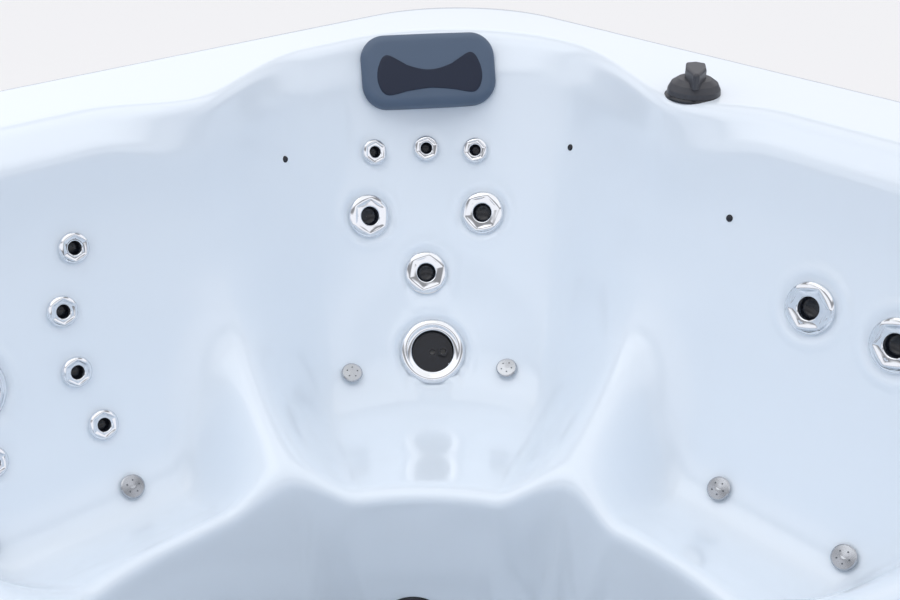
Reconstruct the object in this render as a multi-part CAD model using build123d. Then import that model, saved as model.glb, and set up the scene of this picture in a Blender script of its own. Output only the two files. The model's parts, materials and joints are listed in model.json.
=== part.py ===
from build123d import *
from math import cos, hypot, pi, radians, sin, sqrt, tan
import os

# Hot tub, millimetres. Origin at the centre of the base, +Z up. The corner seat with the
# pillow is at (-X, +Y), the front with the control panel and the equipment bay is -Y.

HALF = 1100.0            # half of the square coping, 2200 mm over all
RIM_Z = 940.0            # top of the coping
RIM_CORNER = 245.0       # plan radius of the coping corner
RIM_DROP = 45.0          # height of the turned-down edge of the coping
RIM_EDGE = 18.0          # rounding of the coping's outer edge
SHELL_T = 9.0            # acrylic with its glass-fibre backing
FLOOR_Z = 80.0           # inside of the footwell floor
RUN = 0.1                # radial clearance of a turning or sliding fit
TRIM = 0.4               # radial clearance round a fixed fitting

# Form of the moulded shell
# Each direction from the middle of the tub has one profile, from the coping edge in to the
# footwell floor. A profile is a row of (inset from the coping edge, height) knots.
CORNER_SEAT = 137.0      # direction of the deep corner seat, degrees from +X
LEFT_SEAT = 186.0
STEP_SEAT = 227.0
BACK_SEAT = 88.0
HALF_SPANS = {CORNER_SEAT: 25.0, LEFT_SEAT: 24.0, STEP_SEAT: 17.0, BACK_SEAT: 24.0}
STEPS = {CORNER_SEAT: 8, LEFT_SEAT: 5, STEP_SEAT: 7, BACK_SEAT: 5}

PROFILES = {
    CORNER_SEAT: [(140, 937), (172, 880), (192, 810), (228, 700), (292, 510), (372, 350),
                  (470, 338), (632, 412), (660, 80)],
    LEFT_SEAT: [(190, 932), (250, 893), (262, 790), (290, 690), (338, 520), (405, 368),
                (470, 345), (600, 412), (642, 80)],
    STEP_SEAT: [(250, 940), (272, 905), (284, 800), (300, 720), (330, 600), (382, 520),
                (470, 512), (600, 520), (650, 80)],
    BACK_SEAT: [(195, 934), (240, 893), (258, 790), (286, 690), (336, 520), (405, 368),
                (470, 345), (622, 412), (662, 80)],
}
ARM = [(250, 928), (268, 850), (278, 760), (302, 660), (345, 560), (400, 520),
       (480, 480), (600, 440), (642, 80)]
FLOOR_EDGE = 60.0        # width of the floor's flat margin inside the last knot
BENDS = [(22, 2), (16, 2), (0, 1), (0, 1), (55, 2), (60, 2), (60, 2), (26, 3), (24, 2)]
# for each knot, how far it is rounded along its legs and the number of rings that round it
BACK_RINGS = [1, 1, 1, 1, 1, 1, 1, 2, 1]    # the same count for the hidden back of the shell

# Jets, by size: escutcheon and opening radius, how deep the seat is cut, length of the body,
# and the gasket that takes up the curve of the shell under the nut
JETS = {
    "small": {"face_r": 25.0, "open_r": 10.8, "sink": 1.5, "body": 44.0, "gasket": 4.5},
    "medium": {"face_r": 41.5, "open_r": 17.8, "sink": 2.5, "body": 60.0, "gasket": 5.5},
    "large": {"face_r": 62.5, "open_r": 40.0, "sink": 3.5, "body": 76.0, "gasket": 6.0},
}
SPIGOT_T = 2.4           # wall of the turning face's spigot
BARREL_T = 2.6           # wall of the jet body's barrel
FLANGE_T = 3.0           # thickness of a jet body's flange
FACE_T = 7.0             # height of a jet's escutcheon over the flange
SPIGOT = 18.0            # length of the spigot below the flange
NUT_T = 9.0              # thickness of the nut behind the shell

# Cabinet, frame and base
PANEL_OUT = 1085.0       # outer face of the cabinet, tucked inside the coping's edge
PANEL_T = 12.0
PANEL_TOP = 915.0
CABINET_IN = PANEL_OUT - PANEL_T
CABINET_R = RIM_CORNER - (HALF - PANEL_OUT)
STRAIGHT = PANEL_OUT - CABINET_R    # half the straight length of a side
PLANKS = 6
GROOVE = 4.0
BASE_T = 20.0
POST = 40.0
RAIL_H = 30.0
RAIL_TOP = 927.7         # just under the lowest part of the coping's sloping back
RAIL_AT = CABINET_IN - POST / 2

# Equipment in the bay behind the front panel
PIPE_R = 30.0
PIPE_T = 3.0
PUMP_X, PUMP_Y, PUMP_Z = -110.0, -860.0, 120.0
MOTOR_R = 78.0
MOTOR_L = 250.0
VOLUTE_R = 96.0
VOLUTE_W = 76.0
IMPELLER_R = 62.0
SHAFT_R = 10.0
VALVE_W = 100.0
VALVE_T = 30.0
GATE_T = 4.0
GATE_TRAVEL = 62.0
GRIP_R = 9.0
HEADER_Z = 430.0
SUCTION_Y, SUCTION_Z = -590.0, 190.0
HEATER_Y, HEATER_Z = -1000.0, 80.0
CIRC_X = 300.0
HEATER_L = 280.0
RISER_X = 765.0
BOX_LO = (-740.0, -1030.0, BASE_T)
BOX_HI = (-440.0, -900.0, 250.0)
BLOWER_AT = (560.0, -800.0)
AIR_R_PIPE = 20.0
AIR_LINE_Y, AIR_LINE_Z = -670.0, 285.0
DRAIN_X, DRAIN_END_Y = -380.0, -1020.0
DRAIN_PIPE_R = 14.0
DRAIN_Z = BASE_T + DRAIN_PIPE_R + 7

# Filter in the corner of the step seat
FILTER_AT = 1210.0       # distance of its axis from the middle
FILTER_DIR = 45.0
CANISTER_R = 100.0
CANISTER_T = 5.0
CANISTER_BOTTOM = 520.0
MOUTH_W, MOUTH_H, MOUTH_Z = 160.0, 110.0, 840.0

# Places on the seats, as (direction, height)
CORNER_SMALL = [(143.3, 744.0), (138.1, 741.0), (133.2, 738.0)]
CORNER_MEDIUM = [(144.1, 636.0), (138.1, 528.0), (132.2, 632.0)]
CORNER_LARGE = [(137.3, 404.0)]
LEFT_SMALL = [(178.5, 754.0), (181.6, 668.0), (182.0, 573.0), (180.9, 483.0), (194.1, 492.0),
              (202.0, 668.0), (202.0, 573.0)]
LEFT_LARGE = [(193.9, 601.0)]
BACK_MEDIUM = [(91.4, 686.0), (81.4, 682.0), (71.6, 684.0)]
FAR_MEDIUM = [(324.1, 636.0), (318.1, 528.0), (312.2, 632.0), (271.4, 686.0), (261.4, 682.0),
              (6.0, 640.0), (13.0, 560.0), (20.0, 640.0)]
LIGHTS = [(152.7, 775.0), (123.5, 771.0), (103.1, 772.0), (332.7, 775.0), (303.5, 771.0)]
INJECTORS = [(180.2, 388.0), (198.9, 396.0), (147.2, 393.0), (128.2, 393.0), (94.9, 388.0),
             (76.7, 388.0), (327.2, 393.0), (308.2, 393.0), (274.9, 388.0), (256.7, 388.0)]


def smooth(t):
    t = min(max(t, 0.0), 1.0)
    return t * t * (3 - 2 * t)


def plan_radius(angle, inset):
    """Distance from the middle to the rounded square that lies inset inside the coping edge."""
    half = HALF - inset
    round_r = min(RIM_CORNER + 0.35 * inset, half - 1)
    a = radians(abs((angle + 45.0) % 90.0 - 45.0))
    flat = half - round_r
    if half * tan(a) <= flat:
        return half / cos(a)
    along = flat * (cos(a) + sin(a))
    across = flat * (cos(a) - sin(a))
    return along + sqrt(round_r ** 2 - across ** 2)


def knots_at(angle):
    """The profile's knots in one direction: the seat's own, raised to the armrest's beside it."""
    for centre, half_span in HALF_SPANS.items():
        across = ((angle - centre + 90.0) % 180.0 - 90.0) / half_span
        if abs(across) <= 1.0001:
            break
    arm = smooth((abs(across) - 0.50) / 0.50)
    return [(d0 + (d1 - d0) * arm, z0 + (z1 - z0) * arm)
            for (d0, z0), (d1, z1) in zip(PROFILES[centre], ARM)]


def toward(p, q, reach):
    """The point on the leg from p to q at the given reach, at most nearly half way."""
    t = min(reach / hypot(q[0] - p[0], q[1] - p[1]), 0.48)
    return p[0] + (q[0] - p[0]) * t, p[1] + (q[1] - p[1]) * t


def profile(angle, bends):
    """Points (inset, height) of one profile with its knots rounded off."""
    knots = [(0.0, RIM_Z - RIM_DROP), (0.0, RIM_Z)] + knots_at(angle)
    knots.append((knots[-1][0] + FLOOR_EDGE, FLOOR_Z))
    points = [knots[0]]
    for (reach, count), a, p, b in zip(bends, knots, knots[1:], knots[2:]):
        if count == 1:
            points.append(p)
            continue
        first, last = toward(p, a, reach), toward(p, b, reach)
        for j in range(count):
            t = j / (count - 1)
            points.append(tuple(
                (1 - t) ** 2 * f + 2 * t * (1 - t) * m + t * t * g
                for f, m, g in zip(first, p, last)))
    return points + [knots[-1]]


FACE_BENDS = [(RIM_EDGE, 3)] + BENDS
BACK_BENDS = [(RIM_EDGE, 2)] + [(reach, n) for (reach, _), n in zip(BENDS, BACK_RINGS)]


def to_space(angle, point):
    r = plan_radius(angle, point[0])
    return Vector(r * cos(radians(angle)), r * sin(radians(angle)), point[1])


def directions():
    """Directions all the way round, evenly spaced across each seat."""
    return [centre + turn + HALF_SPANS[centre] * k / STEPS[centre]
            for turn in (0.0, 180.0)
            for centre in (BACK_SEAT, CORNER_SEAT, LEFT_SEAT, STEP_SEAT)
            for k in range(-STEPS[centre], STEPS[centre])]


def shell_point(angle, bends, j, offset):
    """Point j of the profile in one direction, moved off the surface by offset."""
    row = profile(angle, bends)
    here = to_space(angle, row[j])
    if offset == 0.0:
        return here
    side = [to_space(angle + turn, profile(angle + turn, bends)[j]) for turn in (-0.2, 0.2)]
    around = side[1] - side[0]
    along = to_space(angle, row[min(j + 1, len(row) - 1)]) - to_space(angle, row[max(j - 1, 0)])
    if j == 0:
        along = Vector(0, 0, 1)
        around = Vector(around.X, around.Y, 0)
    if j == len(row) - 1:
        along = Vector(-here.X, -here.Y, 0)
        around = Vector(-here.Y, here.X, 0)
    return here + along.cross(around).normalized() * offset


def rings(bends, offset):
    """Closed rings round the shell, one through each point of the profiles."""
    angles = directions()
    stops = angles + [angles[0] + 360.0]
    found = []
    for j in range(len(profile(0.0, bends))):
        points = [shell_point(a, bends, j, offset) for a in angles]
        found.append(Wire(Edge.make_spline(points, periodic=True, parameters=stops)))
    return found


def eighths(ring_wire):
    """A closed ring as eight edges."""
    edge = ring_wire.edges()[0]
    return [edge.trim(k / 8, (k + 1) / 8) for k in range(8)]


def skin(split_rings):
    """Ruled faces from each ring to the next."""
    return [Face.make_surface_from_curves(one, two)
            for above, below in zip(split_rings, split_rings[1:])
            for one, two in zip(above, below)]


def bare_shell():
    """The moulded shell before any hole is cut: an even wall between two skins of rings."""
    face = [eighths(r) for r in rings(FACE_BENDS, 0.0)]
    back = [eighths(r) for r in rings(BACK_BENDS, SHELL_T)]
    floors = [Face(Wire(face[-1])), Face(Wire(back[-1]))]
    edge = Face(Wire(face[0]), [Wire(back[0])])
    return Solid(Shell(skin(face) + skin(back) + floors + [edge]))


def filled_block():
    """Solid ground up to the shell's face, to cut what lies on the face."""
    face = [eighths(r) for r in rings(FACE_BENDS, 0.0)]
    low = [edge.moved(Location((0, 0, RIM_DROP - RIM_Z + FLOOR_Z / 2))) for edge in face[0]]
    wall = [Face.make_surface_from_curves(one, two) for one, two in zip(low, face[0])]
    return Solid(Shell(skin(face) + wall + [Face(Wire(face[-1])), Face(Wire(low))]))


def seat_plane(angle, height):
    """Plane on the shell's face in one direction at one height, its z axis into the tub."""
    row = profile(angle, FACE_BENDS)
    pair = next((a, b) for a, b in zip(row[4:], row[5:])
                if min(a[1], b[1]) <= height <= max(a[1], b[1]) and a[1] != b[1])
    t = (height - pair[0][1]) / (pair[1][1] - pair[0][1])
    return plane_on(angle, pair, t)


def plane_on(angle, pair, t):
    """Plane on the face at the share t of the leg between two points of a profile."""
    point = [p + (q - p) * t for p, q in zip(*pair)]
    here = to_space(angle, point)
    across = [to_space(angle + turn, point) for turn in (-0.2, 0.2)]
    down = to_space(angle, pair[1]) - to_space(angle, pair[0])
    x_dir = (across[0] - across[1]).normalized()
    return Plane(here, x_dir=x_dir, z_dir=(x_dir.cross(down)).normalized() * -1)


def turned(*points):
    """Solid turned about Z from a closed outline of (radius, height) points."""
    outline = Polyline(*[(r, 0, z) for r, z in points], close=True)
    return revolve(make_face(outline), Axis.Z)


def rod(plane, radius, start, end):
    return Location(plane.offset(start)) * Cylinder(radius, end - start, align=BOTTOM)


def block(lo, hi):
    """Box between two corners."""
    size = [b - a for a, b in zip(lo, hi)]
    return Pos(*lo) * Box(*size, align=(Align.MIN, Align.MIN, Align.MIN))


BOTTOM = (Align.CENTER, Align.CENTER, Align.MIN)


def jet_radii(size):
    """Spigot, barrel and shell hole radius of a jet, worked out from its opening."""
    spigot = JETS[size]["open_r"] + SPIGOT_T
    barrel = spigot + RUN + BARREL_T
    return spigot, barrel, barrel + TRIM


def jet_seat(size, angle, height):
    """Plane on the flat that a jet's flange rests on, its z axis into the tub."""
    return seat_plane(angle, height).offset(-JETS[size]["sink"])


def jet_cutter(size, plane):
    """What a jet's hole and seat take out of the shell."""
    hole = jet_radii(size)[2]
    seat = JETS[size]["face_r"] + 1.5
    return Location(plane) * turned((0, -40), (hole, -40), (hole, 0), (seat, 0), (seat, 30), (0, 30))


def jet_body(size, plane):
    """Flange, barrel with the bore that the face turns in, and the two hose barbs."""
    spigot, barrel, _ = jet_radii(size)
    flange = JETS[size]["face_r"] - 1.5
    end = -JETS[size]["body"]
    bore = spigot + RUN
    floor = -SPIGOT - 4
    body = turned((bore, floor), (bore, FLANGE_T), (flange, FLANGE_T), (flange, 0), (barrel, 0),
                  (barrel, end), (0, end), (0, floor))
    barb_z = end + 9
    for side in (-1, 1):
        body += Pos(side * (barrel + 8), 0, barb_z) * Rot(0, 90, 0) * Cylinder(7, 20)
    return Location(plane) * body


def jet_nut(size, plane):
    """Ring nut on the barrel behind the shell."""
    barrel = jet_radii(size)[1]
    top = JETS[size]["sink"] - SHELL_T - JETS[size]["gasket"]
    ring = Pos(0, 0, top - NUT_T) * Cylinder(barrel + 9, NUT_T, align=BOTTOM)
    return Location(plane) * (ring - Pos(0, 0, top - NUT_T) * Cylinder(barrel, NUT_T, align=BOTTOM))


def jet_face(size, plane, closed=True):
    """Domed escutcheon on a spigot that turns in the body, with its nozzle."""
    face_r, open_r = JETS[size]["face_r"], JETS[size]["open_r"]
    spigot = jet_radii(size)[0]
    low, top = FLANGE_T + RUN, FLANGE_T + FACE_T
    face = turned((open_r, -SPIGOT), (open_r, top - 2), (open_r + 2, top),
                  (0.62 * face_r + 0.3 * open_r, top), (face_r - 2, low + 3.5), (face_r, low + 1.5),
                  (face_r, low), (spigot, low), (spigot, -SPIGOT))
    if closed:
        nozzle = turned((0.5 * open_r, -SPIGOT), (open_r + 0.5, -SPIGOT), (open_r + 0.5, -SPIGOT + 10),
                        (0.5 * open_r, -SPIGOT + 4))
        face += nozzle
    else:
        pin = Pos(0, 0, -SPIGOT) * Cylinder(5, 12, align=BOTTOM)
        face += Pos(0, 0, -SPIGOT) * Cylinder(open_r + 0.5, 3, align=BOTTOM) + pin
    return Location(plane) * face


def jet_rotor(size, plane):
    """Puck with an off-centre nozzle that spins on the pin inside a large jet."""
    open_r = JETS[size]["open_r"]
    puck = Pos(0, 0, -SPIGOT + 3 + RUN) * Cylinder(open_r - 1.5, 9, align=BOTTOM)
    puck -= Pos(0, 0, -SPIGOT) * Cylinder(5 + RUN, 20, align=BOTTOM)
    nozzle = extrude(Pos(0, 0, -SPIGOT + 12) * Pos(0.5 * open_r, 0) * RegularPolygon(11, 5), 8)
    puck += nozzle
    puck -= Pos(0.5 * open_r, 0, -SPIGOT) * Cylinder(6, 40, align=BOTTOM)
    return Location(plane) * puck


def coping_plane(angle, inset, sink):
    """Plane let into the sloping coping in one direction, its z axis up."""
    row = profile(angle, FACE_BENDS)
    outer, inner = row[3], row[4]
    plane = plane_on(angle, (outer, inner), (inset - outer[0]) / (inner[0] - outer[0]))
    return plane.offset(-sink)


def fixed_seat(place, sink):
    """Plane of the flat that a small fitting is let into, at one place on the seats."""
    return seat_plane(*place).offset(-sink)


# Small fittings
LIGHT_R, LIGHT_SINK = 6.0, 0.8
INJECTOR_R, INJECTOR_SINK = 19.5, 2.0
SUCTION_R, SUCTION_SINK, SUCTION_STEM = 58.0, 3.0, 46.0
LAMP_R, LAMP_SINK = 62.0, 3.0
SUCTION_AT = [(259.0, 215.0), (277.0, 215.0)]
LAMP_AT = (140.2, 150.0)
DRAIN_R = 45.0
DRAIN_STEM = 24.0
STEM = 0.62              # stem radius of a fitting as a share of its face radius

# Coping fittings
DIVERTER_PLANE = Plane((-336.0, 903.0, RIM_Z - 14.0), x_dir=(1, 0, 0), z_dir=(0, 0, 1))
DIVERTER_R = 47.5
DIVERTER_STEM = 26.0
AIR_PLANE = coping_plane(288.5, 115.0, 1.0)
AIR_R = 26.0
CUP_PLANE = coping_plane(164.6, 205.0, 5.0)
CUP_R = 50.0
TOPSIDE_PLANE = coping_plane(270.0, 115.0, 1.0)
TOPSIDE_L, TOPSIDE_W = 170.0, 74.0
BUTTON_R, BUTTON_TRAVEL = 9.0, 1.5
BUTTONS = {"temperature_up": -58.0, "temperature_down": -30.0, "jets": 30.0, "light": 58.0}


def fitting_cutter(plane, face_r):
    stem = face_r * STEM + TRIM
    rim = face_r + TRIM
    return Location(plane) * turned((0, -40), (stem, -40), (stem, 0), (rim, 0), (rim, 30), (0, 30))


def fitting_planes():
    """Every round fitting let into the seats and the footwell: its plane and face radius."""
    found = [(fixed_seat(p, LIGHT_SINK), LIGHT_R) for p in LIGHTS]
    found += [(fixed_seat(p, INJECTOR_SINK), INJECTOR_R) for p in INJECTORS]
    found += [(fixed_seat(p, SUCTION_SINK), SUCTION_R) for p in SUCTION_AT]
    found.append((fixed_seat(LAMP_AT, LAMP_SINK), LAMP_R))
    return found


def all_jets():
    """Size and seat plane of every jet."""
    places = [("small", p) for p in CORNER_SMALL + LEFT_SMALL]
    places += [("medium", p) for p in CORNER_MEDIUM + BACK_MEDIUM + FAR_MEDIUM]
    places += [("large", p) for p in CORNER_LARGE + LEFT_LARGE]
    return [(size, jet_seat(size, *p)) for size, p in places]


def acrylic_shell():
    """The shell with every hole and seat cut."""
    tools = [jet_cutter(size, plane) for size, plane in all_jets()]
    tools += [fitting_cutter(plane, r) for plane, r in fitting_planes()]
    tools.append(rod(DIVERTER_PLANE, DIVERTER_R + TRIM, 0, 60))
    tools.append(rod(DIVERTER_PLANE, DIVERTER_STEM + TRIM, -60, 1))
    tools.append(fitting_cutter(AIR_PLANE, AIR_R))
    tools.append(rod(CUP_PLANE, CUP_R, 0, 30))
    tools.append(rod(Plane((0, 0, FLOOR_Z)), DRAIN_R * STEM + TRIM, -40, 40))
    tools.append(Location(TOPSIDE_PLANE) * Box(TOPSIDE_L - 20, TOPSIDE_W - 20, 60))
    tools.append(Location(TOPSIDE_PLANE) * extrude(topside_outline(TRIM), 30))
    tools.append(rod(filter_plane(0), CANISTER_R + TRIM, -60, 60))
    tools.append(mouth_block(2 * TRIM, 120))
    solids = [solid for tool in tools for solid in tool.solids()]
    cut = bare_shell().cut(*solids).solid()
    # Listed from the bottom up: in the order that the cuts leave, the insert counts as inside the wall.
    return Solid(Shell(cut.faces().sort_by(Axis.Z)))


def fitting(plane, face_r, thick, rise, stem_length=30.0):
    """Round face with a soft dome on a stem through the shell."""
    stem = face_r * STEM
    return Location(plane) * turned((0, -stem_length), (stem, -stem_length), (stem, 0), (face_r, 0),
                                    (face_r, thick * 0.6), (face_r * 0.9, thick), (0, thick + rise))


def point_lights():
    return [fitting(fixed_seat(p, LIGHT_SINK), LIGHT_R, 2.2, 0.8) for p in LIGHTS]


def air_injectors():
    """Domed discs with a ring of air holes."""
    made = []
    for place in INJECTORS:
        plane = fixed_seat(place, INJECTOR_SINK)
        disc = fitting(plane, INJECTOR_R, 3.4, 1.6)
        holes = [Location(plane) * Rot(0, 0, 72 * k) * Pos(10.0, 0, 2) * Cylinder(1.4, 8)
                 for k in range(5)]
        made.append(disc.solid().cut(*[h.solid() for h in holes]))
    return made


def suction_covers():
    """Grilled covers over the two suctions, each on a stem with its pipe socket."""
    made = []
    for place in SUCTION_AT:
        plane = fixed_seat(place, SUCTION_SINK)
        cover = fitting(plane, SUCTION_R, 8.0, 4.0, stem_length=SUCTION_STEM)
        slots = [Location(plane) * Rot(0, 0, 30 * k) * Pos(36, 0, 9) * Box(26, 7, 10)
                 for k in range(12)]
        made.append(cover.solid().cut(*[h.solid() for h in slots]))
    return made


def lamp_bezel():
    plane = fixed_seat(LAMP_AT, LAMP_SINK)
    ring = turned((0, -50), (LAMP_R * STEM, -50), (LAMP_R * STEM, 0), (LAMP_R, 0), (LAMP_R, 5),
                  (LAMP_R - 5, 9), (LAMP_R - 12, 9), (LAMP_R - 12, 2), (0, 2))
    return Location(plane) * ring


def lamp_lens():
    plane = fixed_seat(LAMP_AT, LAMP_SINK)
    edge = LAMP_R - 12 - RUN
    return Location(plane) * turned((0, 2), (edge, 2), (edge, 8), (edge * 0.6, 11), (0, 12))


def footwell_drain():
    plane = Plane((0, 0, FLOOR_Z))
    cover = fitting(plane, DRAIN_R, 4.0, 1.5, stem_length=DRAIN_STEM)
    slots = [Location(plane) * Rot(0, 0, 45 * k) * Pos(24, 0, 4) * Box(26, 4, 6) for k in range(8)]
    return cover.solid().cut(*[h.solid() for h in slots])


# Filter
def filter_plane(height):
    """Level plane on the filter's axis, its x axis pointing to the middle of the tub."""
    a = radians(FILTER_DIR)
    here = (FILTER_AT * cos(a), FILTER_AT * sin(a), RIM_Z + height)
    return Plane(here, x_dir=(-cos(a), -sin(a), 0), z_dir=(0, 0, 1))


def mouth_block(grow, reach):
    """Block that fills the skimmer's throat from the filter's axis toward the tub."""
    plane = filter_plane(MOUTH_Z - RIM_Z)
    start = CANISTER_R * 0.8
    box = Box(reach + CANISTER_R - start, MOUTH_W + grow, MOUTH_H + grow,
              align=(Align.MIN, Align.CENTER, Align.CENTER))
    return Location(plane) * Pos(start, 0, 0) * box


THROAT = 104.0           # how far the throat reaches past the canister's wall
THROAT_T = 4.0
LID_R = 118.0
LID_T = 10.0
WEIR_T = 4.0


def filter_housing():
    """Canister with its flange on the coping and the throat to the tub, open inside."""
    depth = RIM_Z - CANISTER_BOTTOM
    inner = CANISTER_R - CANISTER_T
    can = turned((0, -depth), (CANISTER_R, -depth), (CANISTER_R, 0.1), (LID_R, 0.1), (LID_R, 4),
                 (inner, 4), (inner, CANISTER_T - depth), (0, CANISTER_T - depth))
    can = Location(filter_plane(0)) * can
    hollow = rod(filter_plane(0), inner, CANISTER_T - depth, 10)
    port = rod(filter_plane(-depth), PIPE_R, -30, 2)
    throat = mouth_block(0, THROAT) - mouth_block(-2 * THROAT_T, THROAT + 20)
    throat -= rod(filter_plane(0), inner, CANISTER_T - depth, 10)
    opening = mouth_block(-2 * THROAT_T, THROAT + 20)
    return (can + throat + port) - opening - hollow


def filter_lid():
    """Round lid with a hand hold, and the stem that the cartridge hangs from."""
    inner = CANISTER_R - CANISTER_T - 1
    lid = turned((0, 4), (LID_R, 4), (LID_R, 9), (LID_R - 5, 4 + LID_T), (0, 5 + LID_T))
    lid += turned((0, -18), (12, -18), (12, 4), (0, 4))
    lid += turned((inner - 6, -8), (inner, -8), (inner, 4), (inner - 6, 4))
    lid -= Pos(0, 0, 4 + LID_T) * Box(64, 26, 14)
    return Location(filter_plane(0)) * lid


CARTRIDGE_R = 68.0
CARTRIDGE_TOP = -18.0
CARTRIDGE_L = 330.0
PLEATS = 24


def filter_cartridge():
    """Pleated cartridge between two end caps."""
    low = CARTRIDGE_TOP - CARTRIDGE_L
    star = [((CARTRIDGE_R - 3 - 9 * (k % 2)) * cos(pi * k / PLEATS),
             (CARTRIDGE_R - 3 - 9 * (k % 2)) * sin(pi * k / PLEATS)) for k in range(2 * PLEATS)]
    pleats = extrude(Pos(0, 0, low + 14) * make_face(Polyline(*star, close=True)), CARTRIDGE_L - 28)
    caps = [Pos(0, 0, z) * Cylinder(CARTRIDGE_R, 14, align=BOTTOM) for z in (low, CARTRIDGE_TOP - 14)]
    return Location(filter_plane(0)) * (pleats + caps[0] + caps[1])


WEIR_H = MOUTH_H - 2 * THROAT_T - 14
WEIR_W = MOUTH_W - 2 * THROAT_T - 6
WEIR_PIN = 4.0
WEIR_AT = CANISTER_R + 78.0


def weir_plane():
    """Plane on the weir's hinge line, its x axis to the middle of the tub."""
    plane = filter_plane(MOUTH_Z - MOUTH_H / 2 + THROAT_T + WEIR_PIN - RIM_Z)
    return Plane(plane.origin + plane.x_dir * WEIR_AT, x_dir=plane.x_dir, z_dir=(0, 0, 1))


def weir_flap():
    """Floating flap that tips into the throat on its lower edge."""
    pin = Rot(90, 0, 0) * Cylinder(WEIR_PIN, WEIR_W)
    flap = Box(WEIR_T, WEIR_W, WEIR_H, align=(Align.CENTER, Align.CENTER, Align.MIN))
    floats = Pos(-6, 0, WEIR_H - 16) * Box(10, WEIR_W - 20, 16, align=(Align.CENTER, Align.CENTER, Align.MIN))
    return Location(weir_plane()) * (pin + flap + floats)


# Cabinet
def side_panel(turn):
    """Panel of level planks for one side, turned about the middle of the tub."""
    panel = block((-STRAIGHT, -PANEL_OUT, BASE_T), (STRAIGHT, -CABINET_IN, PANEL_TOP))
    step = (PANEL_TOP - BASE_T) / PLANKS
    for k in range(1, PLANKS):
        z = BASE_T + step * k
        panel -= block((-STRAIGHT, -PANEL_OUT, z - GROOVE / 2), (STRAIGHT, -PANEL_OUT + GROOVE, z + GROOVE / 2))
    return Rot(0, 0, turn) * panel


def corner_panels():
    """Rounded cabinet corners."""
    made = []
    for k in range(4):
        at = Pos(STRAIGHT, STRAIGHT, BASE_T)
        ring = Cylinder(CABINET_R, PANEL_TOP - BASE_T, arc_size=90, align=BOTTOM_ARC)
        ring -= Cylinder(CABINET_R - PANEL_T, PANEL_TOP - BASE_T, arc_size=90, align=BOTTOM_ARC)
        made.append(Rot(0, 0, 90 * k) * (at * ring))
    return made


BOTTOM_ARC = (Align.NONE, Align.NONE, Align.MIN)


def rounded_slab(half, corner, low, high):
    return extrude(Pos(0, 0, low) * RectangleRounded(2 * half, 2 * half, corner), high - low)


def base_pan():
    """Moulded base with pockets between its ground ribs."""
    pan = rounded_slab(PANEL_OUT, CABINET_R, 0, BASE_T)
    step = 2 * STRAIGHT / 4
    pockets = [Pos(step * i, step * j, 0) * Box(step - 60, step - 60, 2 * (BASE_T - 8))
               for i in (-1.5, -0.5, 0.5, 1.5) for j in (-1.5, -0.5, 0.5, 1.5)]
    return pan.solid().cut(*[p.solid() for p in pockets])


def footwell_cradle():
    """Bearers between the base and the footwell, with a way out for the drain line."""
    top = FLOOR_Z - SHELL_T
    along = [block((x - 30, -330, BASE_T), (x + 30, 330, top)) for x in (-210, 210)]
    back = [block((-180, 210, BASE_T), (180, 270, top))]
    front = [block((x - 70, -270, BASE_T), (x + 70, -210, top)) for x in (-110, 110)]
    return along + back + front


SCREW_SPOTS = [(x, z) for x in (-STRAIGHT + POST / 2, 0.0, STRAIGHT - POST / 2) for z in (110.0, 850.0)]
SCREW_R = 4.0
SCREW_IN = 12.0          # how far a screw goes into its post


def support_frame():
    """Posts behind the panels with rails on top, just under the coping."""
    top = RAIL_TOP - RAIL_H
    made = []
    for k in range(4):
        for along in (-STRAIGHT + POST / 2, 0.0, STRAIGHT - POST / 2):
            post = Pos(along, -RAIL_AT, BASE_T) * Box(POST, POST, top - BASE_T, align=BOTTOM)
            if k == 0:
                for x, z in SCREW_SPOTS:
                    post -= Pos(x, -CABINET_IN, z) * Rot(-90, 0, 0) * Cylinder(SCREW_R + RUN, SCREW_IN * 2 + 2)
            made.append(Rot(0, 0, 90 * k) * post)
        rail = Pos(0, -RAIL_AT, top) * Box(2 * STRAIGHT, POST, RAIL_H, align=BOTTOM)
        made.append(Rot(0, 0, 90 * k) * rail)
    return made




def access_panel():
    """Front panel with the six holes of its screws."""
    panel = side_panel(0)
    for x, z in SCREW_SPOTS:
        panel -= Pos(x, -PANEL_OUT, z) * Rot(-90, 0, 0) * Cylinder(SCREW_R + RUN, 60)
    return panel


def access_panel_screws():
    made = []
    for x, z in SCREW_SPOTS:
        end = -PANEL_T - SCREW_IN
        screw = turned((0, end), (SCREW_R, end), (SCREW_R, 0), (9, 0), (9, 2.5), (6, 5), (0, 5))
        made.append(Pos(x, -PANEL_OUT, z) * Rot(90, 0, 0) * screw)
    return made


# Equipment
def across_x(x, y, z):
    """Plane facing +X at a place in the bay."""
    return Plane((x, y, z), x_dir=(0, 1, 0), z_dir=(1, 0, 0))


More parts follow.
